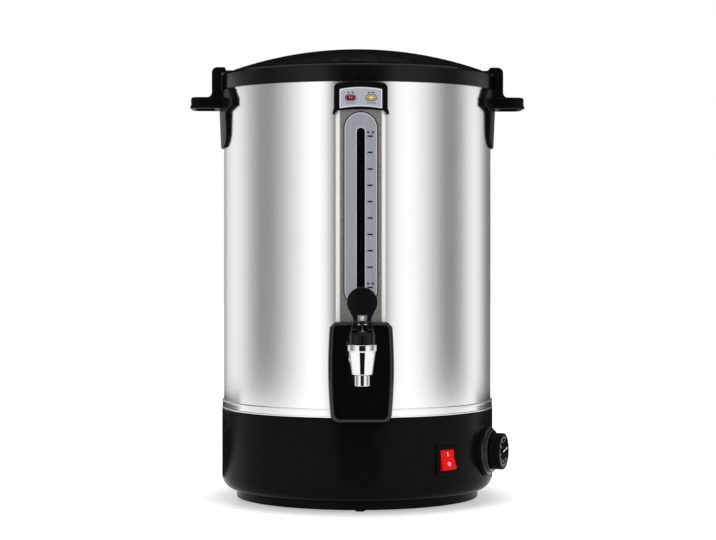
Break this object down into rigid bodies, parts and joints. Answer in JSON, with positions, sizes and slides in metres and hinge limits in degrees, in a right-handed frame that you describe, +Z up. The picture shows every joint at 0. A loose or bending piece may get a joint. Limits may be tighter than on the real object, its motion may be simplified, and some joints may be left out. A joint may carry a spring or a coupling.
{
  "type": "coffee urn",
  "caption": "Stainless coffee urn on a black base, with a domed twist lid, side handles, a front sight gauge, indicator lamps and a lever tap.",
  "frame": {"origin": "on the tank's vertical axis, on the surface that the rubber feet stand on", "axes": "+Z up along the tank's axis, -Y out through the tap and the gauge, +X to the right hand of a person who faces the tap"},
  "size_m": [0.337, 0.3422, 0.452],
  "materials": {
    "brushed_stainless": "brushed",
    "black_plastic": "glossy",
    "matt_black_plastic": "matt",
    "grey_enamel": "fine hammered grey",
    "printed_blue": "satin print on sheet",
    "gauge_glass": "clear",
    "chrome_plate": "mirror",
    "zinc_steel": "zinc-plated",
    "stainless_fitting": "turned",
    "brass_fitting": "turned",
    "copper_bulb": "drawn",
    "seat_rubber": "silicone",
    "foot_rubber": "matt",
    "white_plastic": "matt",
    "red_lens": "clear-faced",
    "amber_lens": "clear-faced",
    "red_rocker": "glossy",
    "red_button": "matt",
    "cast_aluminium": "cast",
    "element_sheath": "heat-darkened",
    "moulded_phenolic": "matt",
    "wire_insulation": "silicone sleeve"
  },
  "bodies": {
    "urn": {"outer_shell": "brushed_stainless", "inner_tank": "brushed_stainless", "tank_seat_ring": "seat_rubber", "shell_screws": "zinc_steel", "rim_ring": "black_plastic", "trim_band": "brushed_stainless", "base_housing": "black_plastic", "bottom_cover": "black_plastic", "cover_screws": "zinc_steel", "rubber_feet": "foot_rubber", "handle_left": "black_plastic", "handle_right": "black_plastic", "handle_screws": "zinc_steel", "gauge_channel": "grey_enamel", "gauge_scale": "printed_blue", "gauge_trough": "matt_black_plastic", "sight_tube": "gauge_glass", "tube_plug": "matt_black_plastic", "tube_seal": "seat_rubber", "gauge_tee": "stainless_fitting", "lamp_housing": "black_plastic", "lamp_fascia": "printed_blue", "lamp_heating": "red_lens", "lamp_keep_warm": "amber_lens", "wiring": "wire_insulation", "tap_guard": "black_plastic", "tap_body": "chrome_plate", "tap_spout": "chrome_plate", "tap_bonnet": "matt_black_plastic", "shank_nut": "brass_fitting", "shank_seals": "seat_rubber", "tap_spring": "zinc_steel", "heater_plate": "cast_aluminium", "boiling_element": "element_sheath", "warming_element": "element_sheath", "heater_nuts": "zinc_steel", "thermostat": "moulded_phenolic", "thermostat_bulb": "copper_bulb", "knob_escutcheon": "black_plastic", "thermal_cutout": "moulded_phenolic", "bushing_nuts": "brass_fitting", "switch_body": "black_plastic", "power_inlet": "matt_black_plastic", "inlet_pins": "brass_fitting"},
    "percolator": {"percolator_stem": "brushed_stainless"},
    "basket": {"brew_basket": "brushed_stainless"},
    "basket_cover": {"basket_cover": "brushed_stainless"},
    "lid_seal": {"lid_gasket": "seat_rubber"},
    "lid": {"lid_cover": "black_plastic", "lid_plate": "brushed_stainless", "lid_screws": "zinc_steel"},
    "stem": {"tap_stem": "brushed_stainless", "stem_nut": "white_plastic", "seat_cup": "seat_rubber", "lever_pin": "brushed_stainless"},
    "lever": {"tap_lever": "matt_black_plastic"},
    "rocker": {"switch_rocker": "red_rocker"},
    "knob": {"thermostat_knob": "black_plastic", "thermostat_shaft": "zinc_steel"},
    "reset": {"reset_button": "red_button"}
  },
  "joints": [
    {"name": "percolator_lift", "type": "slide", "parent": "urn", "child": "percolator", "axis": [0, 0, 1], "range_m": [0, 0.34]},
    {"name": "basket_lift", "type": "slide", "parent": "percolator", "child": "basket", "axis": [0, 0, 1], "range_m": [0, 0.13]},
    {"name": "basket_cover_lift", "type": "slide", "parent": "basket", "child": "basket_cover", "axis": [0, 0, 1], "range_m": [0, 0.05]},
    {"name": "lid_lift", "type": "slide", "parent": "basket_cover", "child": "lid_seal", "axis": [0, 0, 1], "range_m": [0, 0.15]},
    {"name": "lid_turn", "type": "hinge", "parent": "lid_seal", "child": "lid", "pos_m": [0, 0, 0.4249], "axis": [0, 0, 1], "range_deg": [0, 25]},
    {"name": "stem_lift", "type": "slide", "parent": "urn", "child": "stem", "axis": [0, 0, 1], "range_m": [0, 0.0035], "stiffness_N_per_m": 400, "springref_m": -0.005, "deforming": ["tap_spring"]},
    {"name": "lever_pull", "type": "hinge", "parent": "stem", "child": "lever", "pos_m": [0, -0.19, 0.1815], "axis": [1, 0, 0], "range_deg": [0, 35]},
    {"name": "rocker_tip", "type": "hinge", "parent": "urn", "child": "rocker", "pos_m": [0.08181, -0.10739, 0.048], "axis": [0.7955, 0.606, 0], "range_deg": [0, 30]},
    {"name": "knob_turn", "type": "hinge", "parent": "urn", "child": "knob", "pos_m": [0.12757, -0.05103, 0.051], "axis": [-0.9285, 0.3714, 0], "range_deg": [0, 270]},
    {"name": "reset_press", "type": "slide", "parent": "urn", "child": "reset", "axis": [-0.5736, -0.8192, 0], "range_m": [0, 0.002], "stiffness_N_per_m": 500, "springref_m": -0.002}
  ],
  "couplings": [
    {"joint": "lever_pull", "follows": "stem_lift", "rad_per_m": 170}
  ]
}
